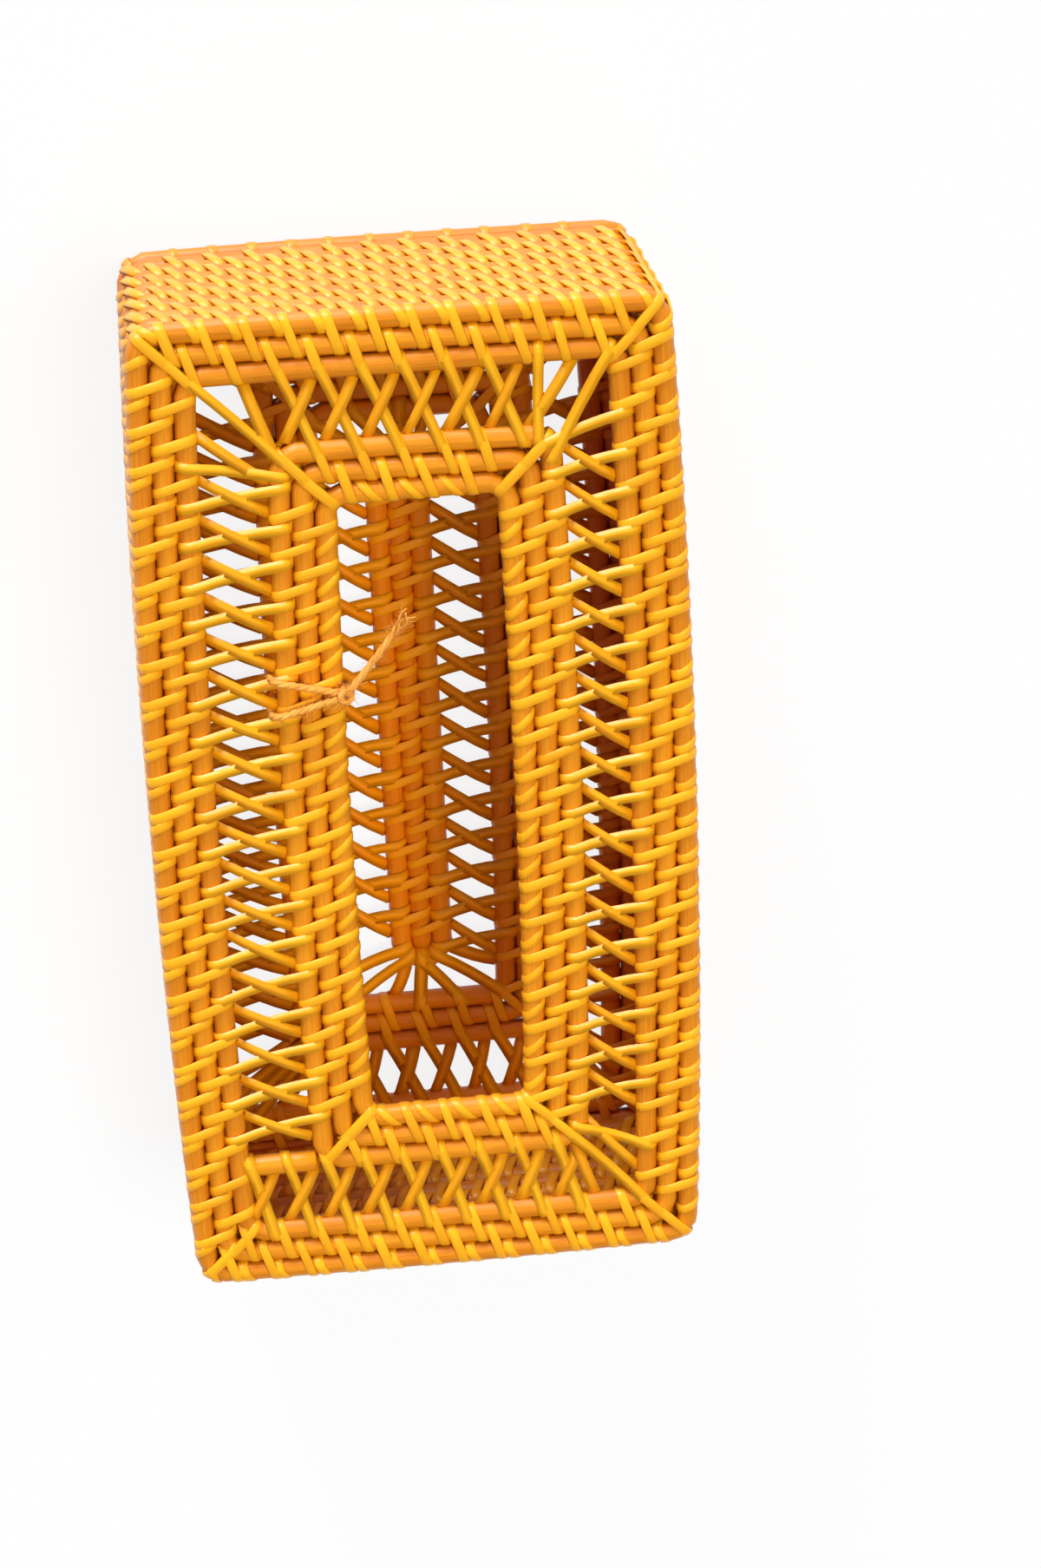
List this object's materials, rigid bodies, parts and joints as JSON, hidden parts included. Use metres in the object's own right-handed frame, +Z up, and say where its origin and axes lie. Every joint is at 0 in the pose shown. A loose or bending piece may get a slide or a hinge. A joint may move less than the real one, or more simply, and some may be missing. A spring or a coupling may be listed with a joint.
{
  "type": "tissue box cover",
  "caption": "Woven cane tissue box cover with a long slot in its openwork top and an openwork base panel hinged along one long side.",
  "frame": {"origin": "centre of the box's footprint, on the surface that it stands on", "axes": "+Z up, +Y along the box, +X across it towards the hinged side"},
  "size_m": [0.134, 0.252, 0.0787],
  "materials": {
    "rod_cane": "satin, honey-stained cane",
    "lacing_cane": "satin split cane",
    "twine": "matt, fuzzy"
  },
  "bodies": {
    "cover": {"corner_bridge_rod": "rod_cane", "slot_edge_lacing": "lacing_cane", "slot_edge_rod": "rod_cane", "slot_frame_lacing": "lacing_cane", "slot_frame_middle_rod": "rod_cane", "slot_frame_outer_rod": "rod_cane", "top_cross_lacing": "lacing_cane", "top_edge_lacing": "lacing_cane", "top_edge_rod": "rod_cane", "top_second_lacing": "lacing_cane", "top_second_rod": "rod_cane", "top_third_rod": "rod_cane", "twine_tail": "twine", "twine_tie": "twine", "wall_lacing_01": "lacing_cane", "wall_lacing_02": "lacing_cane", "wall_lacing_03": "lacing_cane", "wall_lacing_04": "lacing_cane", "wall_lacing_05": "lacing_cane", "wall_lacing_06": "lacing_cane", "wall_lacing_07": "lacing_cane", "wall_lacing_08": "lacing_cane", "wall_lacing_09": "lacing_cane", "wall_lacing_10": "lacing_cane", "wall_lacing_11": "lacing_cane", "wall_rod_01": "rod_cane", "wall_rod_02": "rod_cane", "wall_rod_03": "rod_cane", "wall_rod_04": "rod_cane", "wall_rod_05": "rod_cane", "wall_rod_06": "rod_cane", "wall_rod_07": "rod_cane", "wall_rod_08": "rod_cane", "wall_rod_09": "rod_cane", "wall_rod_10": "rod_cane", "wall_rod_11": "rod_cane"},
    "base": {"base_edge_lacing": "lacing_cane", "base_edge_rod": "rod_cane", "base_heart_lacing": "lacing_cane", "base_heart_ring": "rod_cane", "base_heart_rod": "rod_cane", "base_hinge_loops": "lacing_cane", "base_inner_cross_lacing": "lacing_cane", "base_inner_lacing": "lacing_cane", "base_middle_inner_rod": "rod_cane", "base_middle_lacing": "lacing_cane", "base_middle_outer_rod": "rod_cane", "base_middle_rod": "rod_cane", "base_outer_cross_lacing": "lacing_cane", "base_second_lacing": "lacing_cane", "base_second_rod": "rod_cane", "base_third_rod": "rod_cane"}
  },
  "joints": [
    {"name": "base_hinge", "type": "hinge", "parent": "cover", "child": "base", "pos_m": [0.06353, 0, 0.00945], "axis": [0, -1, 0], "range_deg": [0, 100]}
  ]
}
